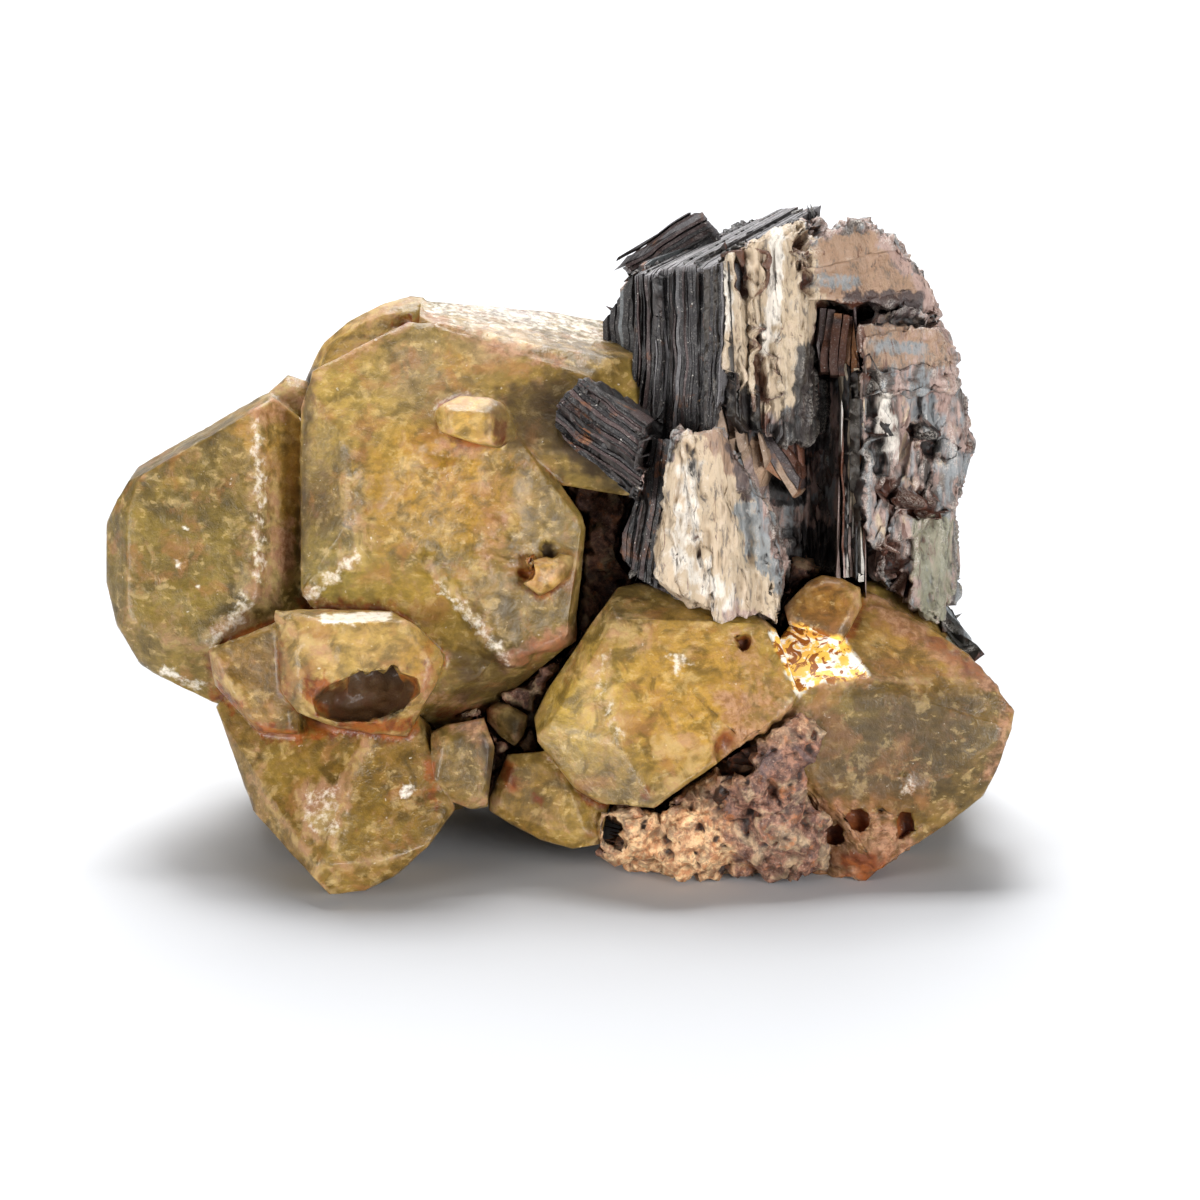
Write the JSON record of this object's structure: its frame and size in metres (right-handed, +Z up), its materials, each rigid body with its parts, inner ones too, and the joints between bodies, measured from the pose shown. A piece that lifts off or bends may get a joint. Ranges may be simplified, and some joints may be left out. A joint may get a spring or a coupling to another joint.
{
  "type": "garnet cluster",
  "caption": "Cluster of intergrown, flat-faced olive and honey garnet crystals carrying upright books of dark layered mica on a porous pink matrix.",
  "frame": {"origin": "middle of the whole specimen's footprint box, on the surface that it rests on", "axes": "+X to the right along the length of the specimen, seen from the side shown in the picture, +Y away from that side, +Z up"},
  "size_m": [0.0502, 0.0306, 0.035],
  "materials": {
    "garnet": "glossy flat crystal faces with worn, chalky edges",
    "mica": "pearly layered sheets with dull striated edges",
    "matrix": "rough porous rock"
  },
  "bodies": {
    "root": {"garnet_cluster": "garnet", "mica_books": "mica", "matrix": "matrix"}
  },
  "joints": []
}
